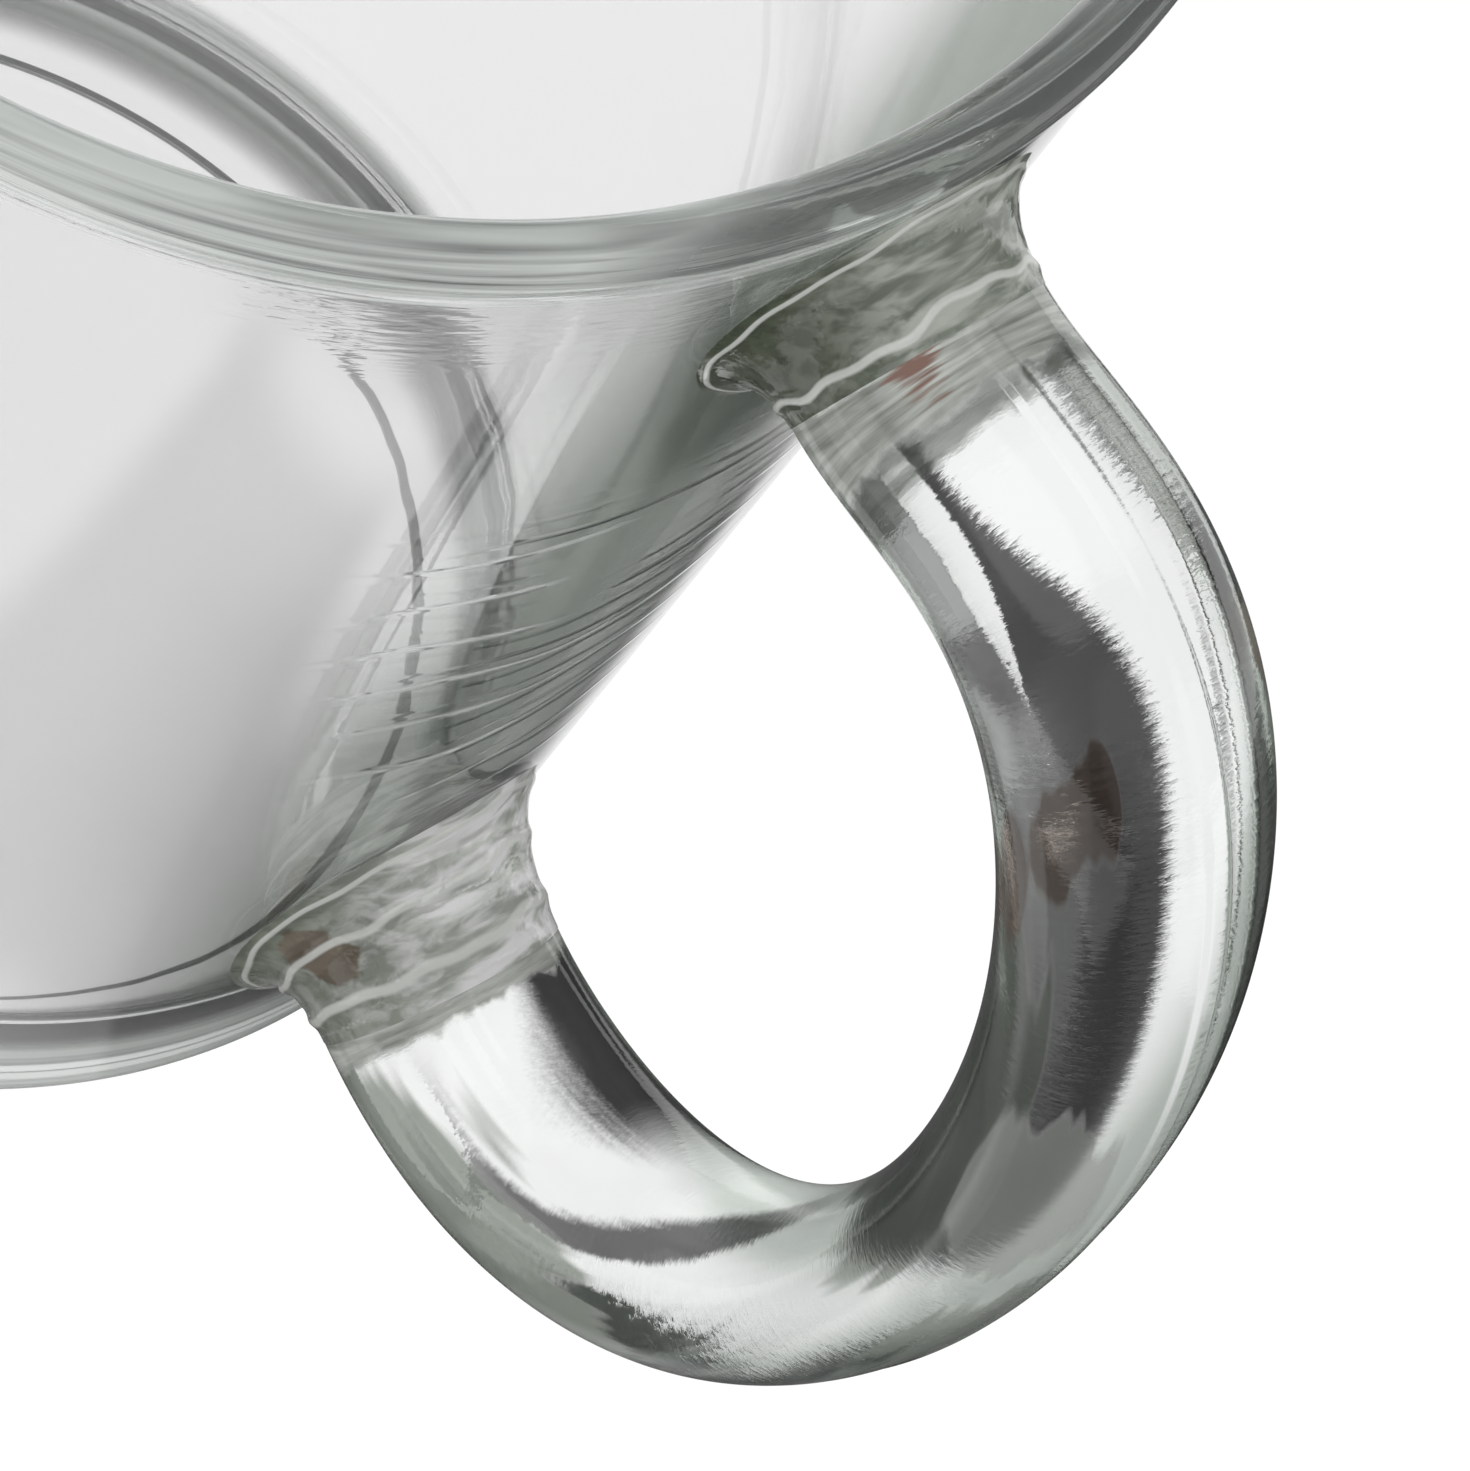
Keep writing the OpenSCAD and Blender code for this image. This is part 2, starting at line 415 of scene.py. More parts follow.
# Zones that start or end over a span of mm: heights, distances towards the
# handle, and the foot's distance from the axis
ABOVE_FOOT = (5, 11)
FOOT_TOP = (5.4, 7)
FOOT_OUTSIDE = (28.2, 29)
RIPPLE_SIDE = (31, 36)
RIPPLE_TOP = (52, 60)
UNDER_RIM = (73, 79)
HANDLE_SIDE = (35, 41)
ON_RIM = (82, 82.8)
HIGHLIGHT_LINE_Z = 81.9
HIGHLIGHT_LINE_EDGE = (0.05, 0.25)
# How clear or cloudy the skin is, as shares
DRAWN_NOISE = (0.2, 0.58)
DRAWN_CLEAR = (0.9, 0.25)
HIGHLIGHT_LINE_CLOUD = 0.7
HANDLE_SIDE_CLEAR = 0.85
RIPPLE_CREST_HIGHLIGHT = 0.5
FOOT_NOISE = (0.35, 0.65)
FOOT_CLOUD = (0.3, 0.68)

bowl_points, bowl_faces = spun(bowl_outline(), BOWL_SIDES)
bowl = piece("bowl_glass", bowl_points, bowl_faces)
bowl.data.materials.append(fire_polished_glass())
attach(bowl, "root")
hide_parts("bowl")

# Handle
# A thick ear-shaped bar of the same glass, pressed in a mould of two halves that
# leaves a low seam along its back. Two welds fuse its ends to the bowl.
UPPER_WELD_Z = CUP_H - 12.0
LOWER_WELD_Z = 14.5
HANDLE_REACH = 30.0
BAR_HALF_T = 4.98
BAR_HALF_W = 6.2
UPPER_WELD_L = 3.7
LOWER_WELD_L = 5.0
SEAM_H = 0.13
SEAM_HALF_W = 0.45
SEAM_EDGE = 0.24
ROUTE_SHARES = (
    (0.0, 1.0), (0.17, 0.955), (0.465, 0.96), (0.775, 0.86), (1.025, 0.585),
    (1.04, 0.215), (0.815, -0.03), (0.475, -0.105), (0.165, -0.065), (0.0, 0.0),
)
GIRTH_SHARES = (1.07, 1.07, 1.09, 1.11, 1.01, 0.78, 0.90, 1.00, 0.98, 0.98)
BAR_SIDES = 240
BAR_RINGS = 260
JOINT_GAP = 0.01
FINE_STEPS = 4001
BAR_TINT = "#b9cbbf"
BAR_CLEAR = 70.0
# Grey that the bar takes at a low angle, a painted shade
BAR_EDGE_SHADE = "#969e96"
BAR_GRAZING = (0.38, 0.62)
# Grains and heights of the bumps, and spans along the bar, in mm
FLOW_GRAIN = (1.6, 1.6, 22)
FLOW_H = 0.035
FLOW_DEEPENS = (62, 76)
FLOW_EASES = (84, 92)
FLOW_UPPER = 0.18
FLOW_LOWER = 0.2
BAR_GRAIN = (0.8, 0.8, 0.28)
BAR_GRAIN_H = 0.011
SCRATCH_GRAIN = (5, 5, 0.5)
SCRATCH_NOISE = (0.35, 0.65)
CLOUD_GRAIN = 1.5
CLOUD_RAGGED = 3
CLOUD_TINTS = ("#9a9e95", "#dfe2dc")
UPPER_CLOUD = (4.8, 5.8)
LOWER_CLOUD = (-0.2, 0.6)
END_CLOUD = 0.7
PATCH_EDGE = 0.1
PATCH_RAGGED = 1.6
STAIN_RAGGED = 0.8
# Grey patches of painted shade, and one brown stain
SHADE_AND_STAIN_PATCHES = (
    # Middle and half sizes in mm, colour, and the share that stays clear
    ((47, -6.8, 7), (15.5, 5, 6), "#a6aca3", 0.3),
    ((68.5, 0.3, 27), (6, 4.6, 9), "#959b93", 0.3),
    ((64.5, -5.6, 44), (3.5, 2.6, 16), "#868c83", 0.78),
    ((63.5, -5.2, 64.5), (2.2, 2.4, 6), "#7a685e", 0.86),
    ((69.3, -4.3, 42), (3, 3, 7), "#a0a49e", 0.5),
)
UPPER_STAIN = ((46.4, -4.2, 78.6), (3.2, 2.6, 2.6), "#8a6152")


def guides(values):
    """Guide values of a smooth cubic curve, each end mirrored once."""
    g = np.asarray(values, float)
    return np.concatenate([[2 * g[0] - g[1]], g, [2 * g[-1] - g[-2]]])


def curve(g, t):
    """The smooth cubic curve led by guide values, at shares t of its length."""
    t = np.atleast_1d(t)
    spans = len(g) - 3
    i = np.minimum((t * spans).astype(int), spans - 1)
    u = (t * spans - i).reshape((-1,) + (1,) * (g.ndim - 1))
    return (
        (1 - u) ** 3 * g[i]
        + (3 * u**3 - 6 * u**2 + 4) * g[i + 1]
        + (-3 * u**3 + 3 * u**2 + 3 * u + 1) * g[i + 2]
        + u**3 * g[i + 3]
    ) / 6


def off_wall(share):
    """A route point from its shares of the reach and of the height between welds."""
    z = LOWER_WELD_Z + share[1] * (UPPER_WELD_Z - LOWER_WELD_Z)
    return wall_out(z) + share[0] * HANDLE_REACH, z


def bar_tree():
    """Geometry nodes that sweep the bar's oval section, with its seam, along a path."""
    tree = bpy.data.node_groups.new("pressed_bar", "GeometryNodeTree")
    tree.interface.new_socket("Geometry", in_out="OUTPUT", socket_type="NodeSocketGeometry")
    tree.interface.new_socket("Path", in_out="INPUT", socket_type="NodeSocketGeometry")
    for name in ("Half width", "Half thickness", "Seam height", "Seam half width", "Seam edge"):
        tree.interface.new_socket(name, in_out="INPUT", socket_type="NodeSocketFloat")
    tree.interface.new_socket("Sides", in_out="INPUT", socket_type="NodeSocketInt")
    tree.interface.new_socket("Glass", in_out="INPUT", socket_type="NodeSocketMaterial")
    size = add(tree, "NodeGroupInput").outputs

    # The path, with the length walked along it
    line = add(tree, "GeometryNodeMeshToCurve", None, {"Mesh": size["Path"]})
    upright = add(tree, "GeometryNodeSetCurveNormal", {"mode": "FREE"}, {
        "Curve": line.outputs[0], "Normal": (0, 1, 0),
    })
    length = add(tree, "GeometryNodeSplineParameter")
    marked = add(tree, "GeometryNodeStoreNamedAttribute", {"data_type": "FLOAT", "domain": "POINT"}, {
        "Geometry": upright.outputs[0], "Name": "along", "Value": length.outputs["Length"],
    })

    # The section: an oval with the seam in the middle of its back
    circle = add(tree, "GeometryNodeCurvePrimitiveCircle", None, {
        "Resolution": size["Sides"], "Radius": 1.0,
    })
    position = add(tree, "GeometryNodeInputPosition").outputs[0]
    spot = add(tree, "ShaderNodeSeparateXYZ", None, {0: position}).outputs
    wide = worked(tree, "MULTIPLY", spot["X"], size["Half width"])
    thick = worked(tree, "MULTIPLY", spot["Y"], size["Half thickness"])
    off_seam = worked(tree, "ABSOLUTE", wide)
    seam_foot = worked(tree, "ADD", size["Seam half width"], size["Seam edge"])
    step = smooth(tree, off_seam, (size["Seam half width"], seam_foot), size["Seam height"], 0.0)
    on_back = worked(tree, "GREATER_THAN", spot["Y"], 0.0)
    seam = worked(tree, "MULTIPLY_ADD", step, on_back, thick)
    section = add(tree, "ShaderNodeCombineXYZ", None, {0: wide, 1: seam})
    oval = add(tree, "GeometryNodeSetPosition", None, {
        "Geometry": circle.outputs[0], "Position": section.outputs[0],
    })
    laid = add(tree, "GeometryNodeStoreNamedAttribute", {
        "data_type": "FLOAT_VECTOR", "domain": "POINT",
    }, {
        "Geometry": oval.outputs[0], "Name": "section", "Value": position,
    })

    girth = add(tree, "GeometryNodeInputNamedAttribute", {"data_type": "FLOAT"}, {"Name": "girth"})
    swept = add(tree, "GeometryNodeCurveToMesh", None, {
        "Curve": marked.outputs[0], "Profile Curve": laid.outputs[0],
        "Scale": girth.outputs[0], "Fill Caps": True,
    })
    smoothed = add(tree, "GeometryNodeSetShadeSmooth", None, {"Geometry": swept.outputs[0]})
    real = add(tree, "GeometryNodeRealizeInstances", None, {"Geometry": smoothed.outputs[0]})
    glazed = add(tree, "GeometryNodeSetMaterial", None, {
        "Geometry": real.outputs[0], "Material": size["Glass"],
    })
    add(tree, "NodeGroupOutput", None, {0: glazed.outputs[0]})
    return tree


def patch(tree, where, centre, radii, uneven, ragged):
    """One inside an oval patch on the skin, nought outside, its edge ragged by a noise."""
    moved = add(tree, "ShaderNodeMapping", {"vector_type": "TEXTURE"}, {
        "Vector": where, "Location": mm(centre), "Scale": mm(radii),
    })
    away = add(tree, "ShaderNodeVectorMath", {"operation": "LENGTH"}, {0: moved.outputs[0]})
    reach = worked(tree, "MULTIPLY_ADD", uneven, ragged, away.outputs["Value"])
    edge = (1 - PATCH_EDGE + ragged / 2, 1 + PATCH_EDGE + ragged / 2)
    return smooth(tree, reach, edge, 1.0, 0.0)


def pressed_glass(length):
    """Pressed hot in iron and left unpolished: a skin with a very fine grain across
    the bar, and flow lines along it that are deepest in the lower bend. Grey patches
    of painted shade darken it there and higher up, and a brown stain lies among them.
    The welder's flame has clouded both ends."""
    material, tree, body = soda_lime("pressed_glass", BAR_TINT, BAR_CLEAR)
    where = add(tree, "ShaderNodeTexCoord").outputs["Object"]
    along = add(tree, "ShaderNodeAttribute", {"attribute_name": "along"}).outputs["Fac"]
    section = add(tree, "ShaderNodeAttribute", {"attribute_name": "section"}).outputs["Vector"]
    skin = add(tree, "ShaderNodeSeparateXYZ", None, {0: section}).outputs
    lay = add(tree, "ShaderNodeCombineXYZ", None, {0: skin[0], 1: skin[1], 2: along}).outputs[0]

    # Flow lines along the bar, and the grain across it
    flow = noise(tree, lay, FLOW_GRAIN, 2.0)
    flow_depth = worked(
        tree, "MULTIPLY", smooth(tree, along, mm(FLOW_DEEPENS), FLOW_UPPER, 1.0),
        smooth(tree, along, mm(FLOW_EASES), 1.0, FLOW_LOWER),
    )
    surface = bump(tree, worked(tree, "MULTIPLY", flow_depth, flow), FLOW_H)
    surface = bump(tree, noise(tree, lay, BAR_GRAIN, 2.0, Roughness=0.6), BAR_GRAIN_H, surface)
    tree.links.new(surface, body.inputs["Normal"])

    # Painted shade: the bar greys at a low angle, and grey patches, ragged along the flow lines,
    # darken it; one brown patch among them is a stain
    colour = blend(tree, grazing(tree, BAR_GRAZING), WHITE, linear(BAR_EDGE_SHADE))
    clear = 1.0
    for centre, radii, patch_tint, left in SHADE_AND_STAIN_PATCHES:
        patched = patch(tree, where, centre, radii, flow, PATCH_RAGGED)
        colour = blend(tree, patched, colour, linear(patch_tint))
        kept = worked(tree, "MULTIPLY_ADD", patched, left - 1, 1.0)
        clear = worked(tree, "MULTIPLY", kept, clear)

    # Clouded ends, with a ragged edge and fine scratches across the bar
    scratches = noise(tree, lay, SCRATCH_GRAIN, 3.0, Distortion=0.3)
    uneven = noise(tree, where, CLOUD_GRAIN, 3.0)
    edge = worked(tree, "MULTIPLY_ADD", uneven, CLOUD_RAGGED * MM, along)
    ends = worked(
        tree, "MAXIMUM", smooth(tree, edge, mm(UPPER_CLOUD), 1.0, 0.0),
        smooth(tree, edge, [length + v for v in mm(LOWER_CLOUD)]),
    )
    scratched = ramp(tree, scratches, SCRATCH_NOISE)
    cloud = blend(tree, scratched, linear(CLOUD_TINTS[0]), linear(CLOUD_TINTS[1]))
    centre, radii, brown = UPPER_STAIN
    stained = patch(tree, where, centre, radii, scratches, STAIN_RAGGED)
    cloud = blend(tree, stained, cloud, linear(brown))
    tree.links.new(blend(tree, ends, colour, cloud), body.inputs["Base Color"])
    ends_clear = worked(tree, "MULTIPLY_ADD", ends, -END_CLOUD, 1.0)
    clear = worked(tree, "MULTIPLY", ends_clear, clear)
    tree.links.new(clear, body.inputs["Transmission Weight"])
    return material


route = guides([off_wall(share) for share in ROUTE_SHARES])
girth = guides(GIRTH_SHARES)
fine = np.linspace(0, 1, FINE_STEPS)
strides = np.linalg.norm(np.diff(curve(route, fine), axis=0), axis=1)
walked = np.concatenate([[0], np.cumsum(strides)])
bar_start = np.interp(UPPER_WELD_L, walked, fine)
bar_stop = np.interp(walked[-1] - LOWER_WELD_L, walked, fine)
bar_walk = np.linspace(UPPER_WELD_L + JOINT_GAP, walked[-1] - LOWER_WELD_L - JOINT_GAP, BAR_RINGS)
bar_ts = np.interp(bar_walk, walked, fine)

path = bpy.data.meshes.new("bar_path")
path_points = [(x * MM, 0, z * MM) for x, z in curve(route, bar_ts)]
path.from_pydata(path_points, [(i, i + 1) for i in range(BAR_RINGS - 1)], [])
path.attributes.new("girth", "FLOAT", "POINT").data.foreach_set("value", curve(girth, bar_ts))
bar_path = bpy.data.objects.new("bar_path", path)
bpy.context.scene.collection.objects.link(bar_path)
bar = bar_path.modifiers.new("bar", "NODES")
bar.node_group = bar_tree()
bar_inputs = {
    "Half width": BAR_HALF_W * MM,
    "Half thickness": (BAR_HALF_T - SEAM_H) * MM,
    "Seam height": SEAM_H * MM,
    "Seam half width": SEAM_HALF_W * MM,
    "Seam edge": SEAM_EDGE * MM,
    "Sides": BAR_SIDES,
    "Glass": pressed_glass((bar_walk[-1] - bar_walk[0]) * MM),
}
for socket in bar.node_group.interface.items_tree:
    if socket.name in bar_inputs:
        bar[socket.identifier] = bar_inputs[socket.name]
ready = bar_path.evaluated_get(bpy.context.evaluated_depsgraph_get())
handle = bpy.data.objects.new("handle_glass", bpy.data.meshes.new_from_object(ready))
bpy.context.scene.collection.objects.link(handle)
bpy.data.objects.remove(bar_path)


def mark_joints(obj, marks):
    """Marks the faces where a piece is fused to the next one, with sharp edges."""
    mesh = obj.data
    mesh.attributes.new("joint", "FLOAT", "FACE").data.foreach_set("value", marks)
    fused, plain = set(), set()
    for polygon in mesh.polygons:
        (fused if marks[polygon.index] > 0 else plain).update(polygon.edge_keys)
    for edge in mesh.edges:
        edge.use_edge_sharp = edge.key in fused and edge.key in plain


mark_joints(handle, [float(len(polygon.vertices) > 4) for polygon in handle.data.polygons])
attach(handle, "root")
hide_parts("handle")

# Upper weld
# A gob of soft glass, squeezed between the bar and the wall just under the rim.
# It spreads on the wall in a hollow and keeps a wrinkled lip on both sides.
UPPER_FLARE = 2.4
HOLLOW_SHARE = 0.16
WELD_RINGS = 40
CAP_RINGS = 6
LIP_H = 0.16
LIP_W = 0.05
LIP_FADE = 12
# Size, count round the weld and start of each wave that makes the lips waver
LIP_WAVES = ((1, 3, 1), (0.6, 7, 2), (0.4, 13, 4))
NUDGE = 1e-4
UPPER_LIPS = ((0.14, 0.035), (0.86, 0.03))
WELD_TINT = "#9fb0a3"
WELD_CLEAR = 30.0
FOLD_GRAIN = 2.4
FOLD_H = 0.12
WRINKLE_GRAIN = 0.5
WRINKLE_H = 0.02
STREAK_GRAIN = (0.9, 6, 0.9)
STREAK_NOISE = (0.38, 0.64)
# Tints of the upper and of the lower weld; the lower weld's white streaks are a painted highlight
PALE_TINTS = (("#9ba296", "#cbcfc6"), ("#cacec5", "#ffffff"))
DARK_TINTS = ("#59604f", "#8f9588")
DARK_SIDE_Y = (-8, -1)
BETWEEN_WELDS_Z = 45
# Nearly white tint of the lip crests, a painted highlight
CREST_HIGHLIGHT_TINT = "#f4f6f1"
CREST_EDGE = (0.55, 0.9)
CREST_HIGHLIGHT_SHARE = 0.85
# Share of light that passes as through clear glass, between the streaks and in them
WELD_SHARES = (0.45, 0.2)
LOWER_STAIN = ((33.6, -6.4, 15.2), (1.8, 2.6, 1.3), "#83786a")


def on_wall(y, z, under):
    """Points on the wall's outer face, or under it by so much."""
    return np.stack([np.sqrt((wall_out(z) - under) ** 2 - y**2), y, z], 1)


def bar_end(t):
    """The bar's end ring at t: an oval square to the route, and its heading."""
    p, g = curve(route, t)[0], curve(girth, t)[0]
    ahead = curve(route, t + NUDGE)[0] - curve(route, t - NUDGE)[0]
    d = ahead / np.linalg.norm(ahead)
    turns = np.linspace(0, 2 * math.pi, BAR_SIDES, endpoint=False)
    a, b = BAR_HALF_T * g * np.cos(turns), BAR_HALF_W * g * np.sin(turns)
    return np.stack([p[0] - a * d[1], b, p[1] + a * d[0]], 1), d


def weld(name, t, flare, up, lips):
    """A weld from the bar's end ring to its footprint on the wall, which it returns."""
    bar, d = bar_end(t)
    turns = np.linspace(0, 2 * math.pi, BAR_SIDES, endpoint=False)
    z = bar[:, 2] - d[1] / d[0] * (bar[:, 0] - wall_out(bar[:, 2]))
    foot = on_wall(bar[:, 1], z, 0)
    bend = foot + HOLLOW_SHARE * (bar - foot)
    half_z = (z.max() - z.min()) / 2 + flare
    mid_z = (z.max() + z.min()) / 2
    half_y = bar[:, 1].max() + flare
    end = on_wall(half_y * np.sin(turns), mid_z + up * half_z * np.cos(turns), -JOINT_GAP)
    outward = np.stack([np.zeros(BAR_SIDES), np.sin(turns), up * np.cos(turns)], 1)
    waver = sum(size * np.sin(count * turns + start) for size, count, start in LIP_WAVES)
    rings, crests = [], []
    for s in np.linspace(0, 1, WELD_RINGS):
        ring = (1 - s) ** 2 * bar + 2 * s * (1 - s) * bend + s**2 * end
        crest = np.zeros(BAR_SIDES)
        for lip_at, lip_waver in lips:
            lip = np.exp(-(((s - lip_at - lip_waver * waver) / LIP_W) ** 2))
            ring = ring + (LIP_H * lip * min(1, LIP_FADE * s * (1 - s)))[:, None] * outward
            crest = np.maximum(crest, lip)
        rings.append(ring)
        crests.append(crest)
    for share in np.linspace(1, 0, CAP_RINGS + 1)[1:-1]:
        rings.append(on_wall(end[:, 1] * share, mid_z + (end[:, 2] - mid_z) * share, -JOINT_GAP))
    n, m = BAR_SIDES, len(rings)
    faces = [tuple(range(n)), tuple((m - 1) * n + i for i in range(n))]
    marks = [1.0, 1.0]
    for j in range(m - 1):
        for i in range(n):
            k = (i + 1) % n
            faces.append((j * n + i, (j + 1) * n + i, (j + 1) * n + k, j * n + k))
            marks.append(float(j >= WELD_RINGS - 1))
    obj = piece(name, np.concatenate(rings), faces)
    mark_joints(obj, marks)
    crests = np.concatenate(crests + [np.zeros((m - WELD_RINGS) * n)])
    obj.data.attributes.new("crest", "FLOAT", "POINT").data.foreach_set("value", crests)
    return obj, (mid_z, half_y, half_z)


def fused_glass():
    """Dropped on while soft and never polished: folds a millimetre or two across
    that run round the weld, and a fine wrinkle over them."""
    material, tree, body = soda_lime("fused_glass", WELD_TINT, WELD_CLEAR)
    where = add(tree, "ShaderNodeTexCoord").outputs["Object"]
    spot = add(tree, "ShaderNodeSeparateXYZ", None, {0: where}).outputs
    folds = noise(tree, where, FOLD_GRAIN, 3.0, Distortion=0.8)
    skin = bump(tree, folds, FOLD_H)
    skin = bump(tree, noise(tree, where, WRINKLE_GRAIN, 2.0), WRINKLE_H, skin)
    tree.links.new(skin, body.inputs["Normal"])

    # Cloudy because it was never polished, in streaks drawn across the bar. It is
    # darker and greener on the -Y side. The upper weld is grey-green; the lower one
    # was hotter and is clearer and paler, its white streaks a painted highlight
    streaks = noise(tree, where, STREAK_GRAIN, 3.0, Distortion=0.4)
    streaky = smooth(tree, streaks, STREAK_NOISE)
    lower = worked(tree, "LESS_THAN", spot["Z"], BETWEEN_WELDS_Z * MM)
    upper_pale, lower_pale = (
        blend(tree, streaky, linear(dull), linear(bright)) for dull, bright in PALE_TINTS
    )
    pale = blend(tree, lower, upper_pale, lower_pale)
    dark = blend(tree, lower, linear(DARK_TINTS[0]), linear(DARK_TINTS[1]))
    colour = blend(tree, smooth(tree, spot["Y"], mm(DARK_SIDE_Y)), dark, pale)
    centre, radii, brown = LOWER_STAIN
    stained = patch(tree, where, centre, radii, streaks, STAIN_RAGGED)
    colour = blend(tree, stained, colour, linear(brown))

    # Painted highlight: the crests of the lips are nearly white and cloudy
    crest = add(tree, "ShaderNodeAttribute", {"attribute_name": "crest"}).outputs["Fac"]
    white = smooth(tree, crest, CREST_EDGE, 0.0, CREST_HIGHLIGHT_SHARE)
    tree.links.new(blend(tree, white, colour, linear(CREST_HIGHLIGHT_TINT)), body.inputs["Base Color"])
    cloudy = worked(tree, "MAXIMUM", streaky, white)
    tree.links.new(ramp(tree, cloudy, (0.0, 1.0), *WELD_SHARES), body.inputs["Transmission Weight"])
    return material


weld_material = fused_glass()
upper_weld, upper_footprint = weld("upper_weld_glass", bar_start, UPPER_FLARE, 1, UPPER_LIPS)
upper_weld.data.materials.append(weld_material)
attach(upper_weld, "root")
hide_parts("upper_weld")

# Lower weld
# The same gob at the lower end, just above the foot, where the glass was hotter:
# longer, with softer lips. Both footprints are then opened in the bowl's wall.
LOWER_FLARE = 2.4
LOWER_LIPS = ((0.16, 0.015), (0.5, 0.025), (0.86, 0.02))
ON_WALL = 0.05

lower_weld, lower_footprint = weld("lower_weld_glass", bar_stop, LOWER_FLARE, -1, LOWER_LIPS)
lower_weld.data.materials.append(weld_material)
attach(lower_weld, "root")
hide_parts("lower_weld")

radii = np.hypot(bowl_points[:, 0], bowl_points[:, 1])
wall_side = (np.abs(radii - wall_out(bowl_points[:, 2])) < ON_WALL) & (bowl_points[:, 0] > 0)
openings = np.full(len(bowl_points), -1.0)
for mid_z, half_y, half_z in (upper_footprint, lower_footprint):
    inside = 1 - (bowl_points[:, 1] / half_y) ** 2 - ((bowl_points[:, 2] - mid_z) / half_z) ** 2
    openings[wall_side] = np.maximum(openings[wall_side], inside[wall_side])
bowl.data.attributes.new("joint", "FLOAT", "POINT").data.foreach_set("value", openings)

# Table
# A wide white table, not part of the cup. Seen directly it is plain white; only
# the glass shows the shades and the bright spots that lie round the handle. It
# lies a hair under the standing ring, so that the two faces do not coincide.
TABLE_HALF = 3000.0
TABLE_PAINT = "#f7f7f7"
TABLE_GLOW = 1.03
GLOW_SHARE = 0.97
# Light that has passed through fewer faces of glass than this sees the painted shades
THIN_DEPTH = 3.5
TABLE_Z = -0.05
# Middle radius, half width, soft edge, and the share of light taken
FOOT_SHADOW = (29.2, 1.5, 0.8, -0.6)
SHADOWS = (
    # Middle, half sizes, turn, soft edges, and the share of light taken or added
    ("shadow of the bowl", (22, 8), (8, 10), 20, (5, 5), -0.2),
)
PAINTED_SHADES_AND_LIGHT = (
    ("painted dark patch behind the handle", (98.9, 107), (80, 50), 25.5, (2.5, 4), -0.95),
    ("painted dark patch beside the handle", (103, 30), (50, 20), -18.4, (3, 2), -0.9),
    ("painted dark patch to the right", (300, -38), (235, 48), -7.5, (8, 12), -0.9),
    ("painted dark patch farther right", (470, 20), (130, 130), 0, (20, 20), -0.88),
    ("painted dark patch far to the right", (1750, 0), (1200, 450), 0, (60, 60), -0.88),
    ("painted dark patch in front", (15, -92), (12, 42), 0, (3, 3), -0.85),
    ("painted dark patch in front, right", (112, -84), (34, 28), 0, (4, 4), -0.8),
    ("soft end of the painted dark patch", (68, 27), (14, 6), -10, (5, 3), -0.75),
    ("shadow of the lower bar, front edge", (39, -2.5), (9, 7.5), 0, (4, 0.5), -0.97),
    ("shadow of the lower bar, back edge", (51, 10), (13, 2), 0, (5, 0.6), -0.85),
    ("shadow in front of the bar", (46, -22), (15, 15), 0, (3, 3), -0.85),
    ("light through the handle", (62, -12), (8, 20), 0, (3, 5), 0.5),
)
MIRRORED = ("painted dark patch that the wall mirrors", (64, 18), (34, 24), 0, (3, 8), -0.92)


def soft_box(tree, where, centre, half, turn, edges):
    """One inside a turned rectangle on the table, nought outside, with soft edges."""
    moved = add(tree, "ShaderNodeMapping", {"vector_type": "TEXTURE"}, {
        "Vector": where,
        "Location": (centre[0] * MM, centre[1] * MM, 0),
        "Rotation": (0, 0, math.radians(turn)),
    })
    split = add(tree, "ShaderNodeSeparateXYZ", None, {0: moved.outputs[0]}).outputs
    sides = []
    for axis in (0, 1):
        off = worked(tree, "ABSOLUTE", split[axis])
        edge = ((half[axis] - edges[axis]) * MM, (half[axis] + edges[axis]) * MM)
        sides.append(smooth(tree, off, edge, 1.0, 0.0))
    return worked(tree, "MULTIPLY", *sides)


def shaded(tree, where, light, shades):
    """The light on the table, less or more in each of some soft rectangles."""
    for name, centre, half, turn, edges, share in shades:
        box = soft_box(tree, where, centre, half, turn, edges)
        box.node.label = name
        left = worked(tree, "MULTIPLY_ADD", box, share, 1.0)
        light = worked(tree, "MULTIPLY", light, left)
    return light


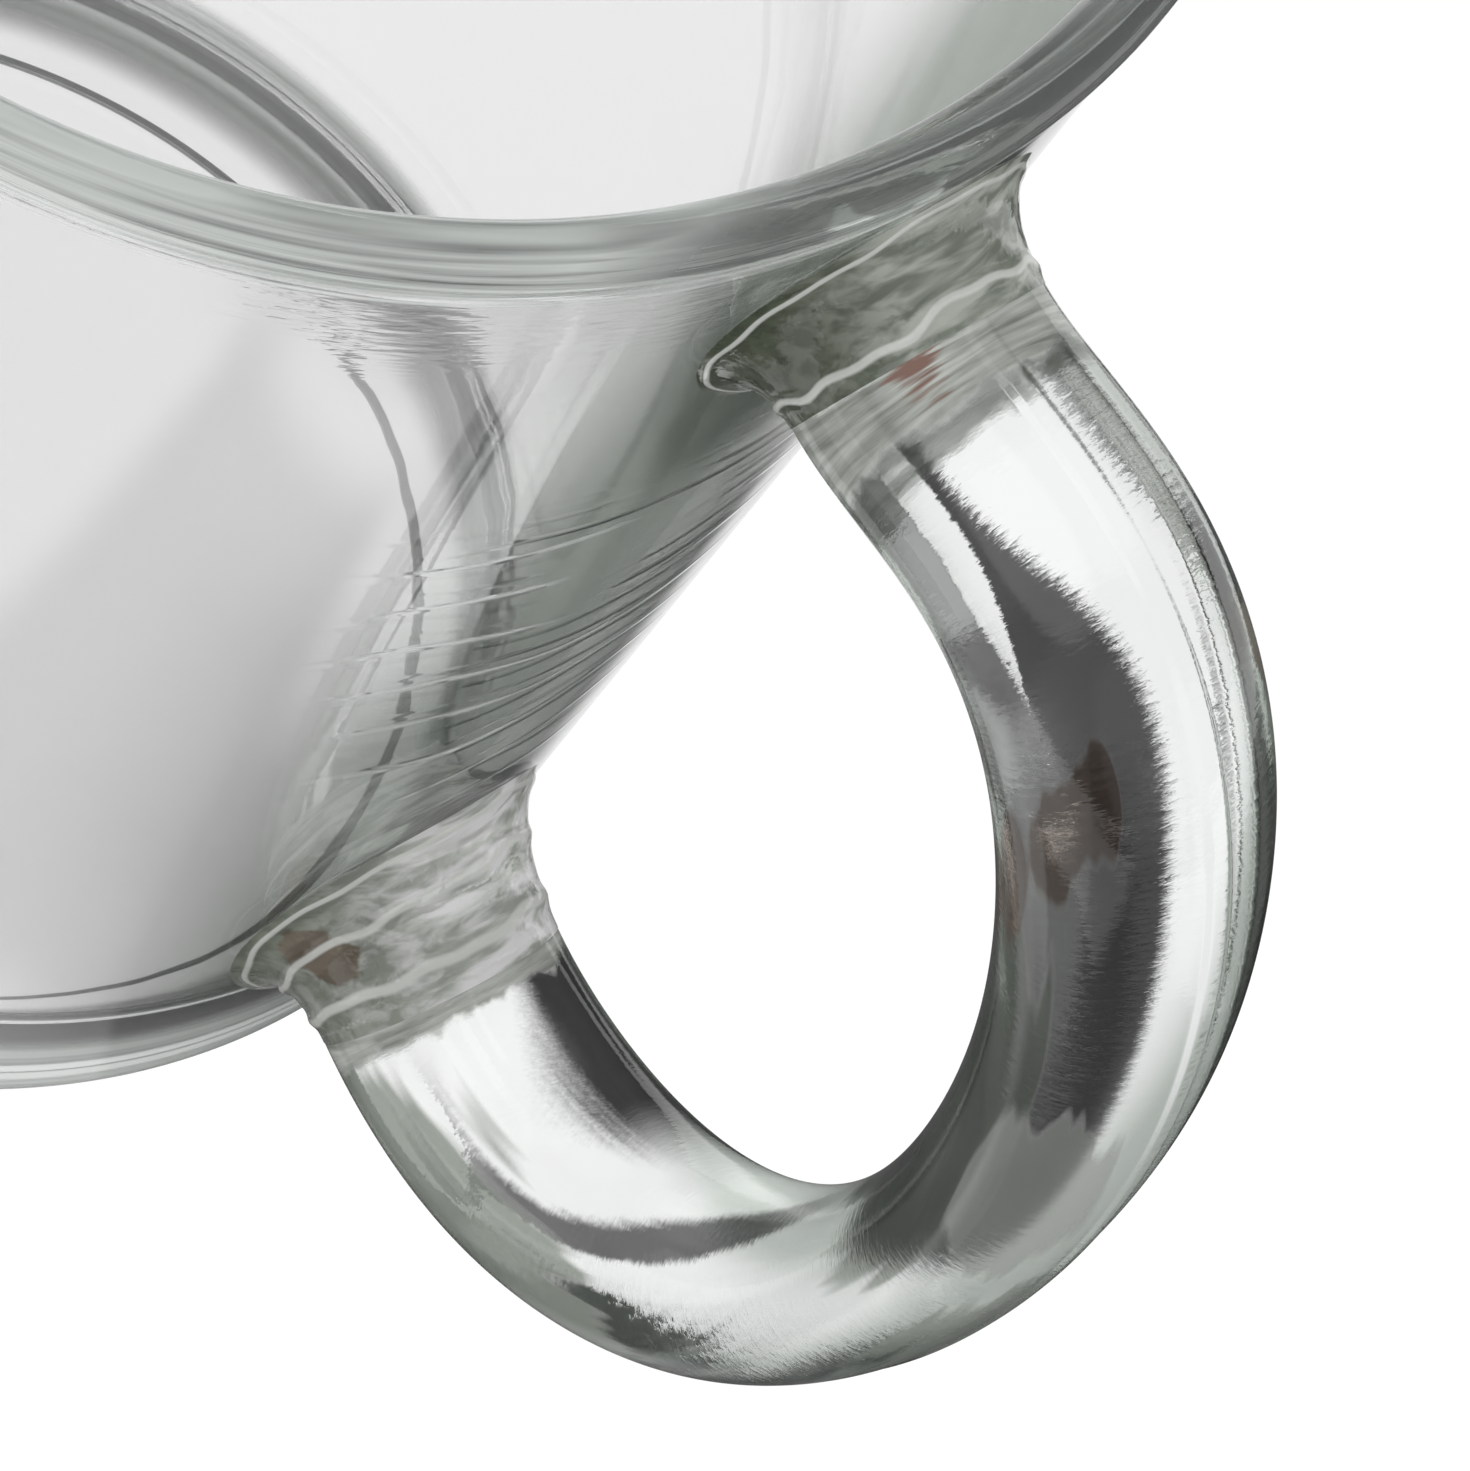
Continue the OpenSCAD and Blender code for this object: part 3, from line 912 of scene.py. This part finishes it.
def white_laminate():
    """Plain smooth sheet, evenly lit, with shades that only light in the glass meets."""
    material = bpy.data.materials.new("white_laminate")
    material.use_nodes = True
    tree = material.node_tree
    tree.nodes.clear()
    where = add(tree, "ShaderNodeTexCoord").outputs["Object"]
    ray = add(tree, "ShaderNodeLightPath").outputs

    # The contact shadow of the standing ring
    mid_r, half_r, edge, share = FOOT_SHADOW
    away = add(tree, "ShaderNodeVectorMath", {"operation": "LENGTH"}, {0: where})
    gap = worked(tree, "SUBTRACT", away.outputs["Value"], mid_r * MM)
    gap = worked(tree, "ABSOLUTE", gap)
    span = ((half_r - edge) * MM, (half_r + edge) * MM)
    plain_light = shaded(tree, where, smooth(tree, gap, span, 1 + share, 1.0), SHADOWS)

    # The painted shades show in the bar and in a single wall, not through the whole bowl
    thin = worked(tree, "LESS_THAN", ray["Transmission Depth"], THIN_DEPTH)
    light = add(tree, "ShaderNodeMix", {"data_type": "FLOAT"}, {
        0: thin, 2: plain_light, 3: shaded(tree, where, plain_light, PAINTED_SHADES_AND_LIGHT),
    }).outputs[0]

    # One more painted shade shows only in reflections
    name, centre, half, turn, edges, share = MIRRORED
    box = soft_box(tree, where, centre, half, turn, edges)
    box.node.label = name
    mirrored = worked(tree, "MULTIPLY", box, ray["Is Reflection Ray"])
    left = worked(tree, "MULTIPLY_ADD", mirrored, share, 1.0)
    light = worked(tree, "MULTIPLY", light, left)

    # The camera and the glass see a glow, all other light sees matt paint
    plain = add(tree, "ShaderNodeMix", {"data_type": "FLOAT"}, {
        0: ray["Is Camera Ray"], 2: light, 3: TABLE_GLOW,
    })
    glow = add(tree, "ShaderNodeEmission", None, {"Strength": plain.outputs[0]})
    paint = add(tree, "ShaderNodeBsdfDiffuse", None, {"Color": linear(TABLE_PAINT)})
    seen = worked(tree, "MAXIMUM", ray["Is Camera Ray"], ray["Is Glossy Ray"])
    seen = worked(tree, "MAXIMUM", seen, ray["Is Transmission Ray"])
    mix = add(tree, "ShaderNodeMixShader", None, {
        0: worked(tree, "MULTIPLY", seen, GLOW_SHARE), 1: paint.outputs[0], 2: glow.outputs[0],
    })
    add(tree, "ShaderNodeOutputMaterial", None, {"Surface": mix.outputs[0]})
    return material


table = bpy.data.objects.new("table", bpy.data.meshes.new("table"))
corners = [(-1, -1), (1, -1), (1, 1), (-1, 1)]
table.data.from_pydata(
    [(x * TABLE_HALF * MM, y * TABLE_HALF * MM, TABLE_Z * MM) for x, y in corners], [], [(0, 1, 2, 3)],
)
bpy.context.scene.collection.objects.link(table)
table.data.materials.append(white_laminate())

# Studio
# Dark above with a few soft lights, mostly over the camera's side. The camera
# itself sees plain white behind the cup.
SKY = 0.12
LIGHTS = (
    # Azimuth and height it stands at, half its angle, soft edge, strength
    ("key light over the camera", 285, 65, 30, 5, 1.45),
    ("side light", 352, 18, 24, 6, 0.42),
    ("fill light behind", 75, 68, 24, 8, 0.45),
    ("fill light on the left", 160, 50, 20, 8, 0.9),
)


def studio():
    """The surroundings of the glass: a dark room with soft round lights."""
    world = bpy.data.worlds.new("studio")
    world.use_nodes = True
    tree = world.node_tree
    tree.nodes.clear()
    towards = add(tree, "ShaderNodeTexCoord").outputs["Generated"]
    light = SKY
    for name, azimuth, height, half, edge, strength in LIGHTS:
        facing = add(tree, "ShaderNodeVectorMath", {"operation": "DOT_PRODUCT"}, {
            0: towards, 1: tuple(direction(azimuth, height)),
        })
        span = [math.cos(math.radians(angle)) for angle in (half + edge, half - edge)]
        lamp = smooth(tree, facing.outputs["Value"], span, 0.0, strength)
        lamp.node.label = name
        light = worked(tree, "MAXIMUM", light, lamp)
    ray = add(tree, "ShaderNodeLightPath").outputs
    plain = add(tree, "ShaderNodeMix", {"data_type": "FLOAT"}, {
        0: worked(tree, "MAXIMUM", ray["Is Camera Ray"], ray["Is Diffuse Ray"]),
        2: light, 3: TABLE_GLOW,
    })
    glow = add(tree, "ShaderNodeBackground", None, {"Strength": plain.outputs[0]})
    add(tree, "ShaderNodeOutputWorld", None, {"Surface": glow.outputs[0]})
    return world


bpy.context.scene.world = studio()
bpy.context.scene.view_settings.view_transform = "Standard"
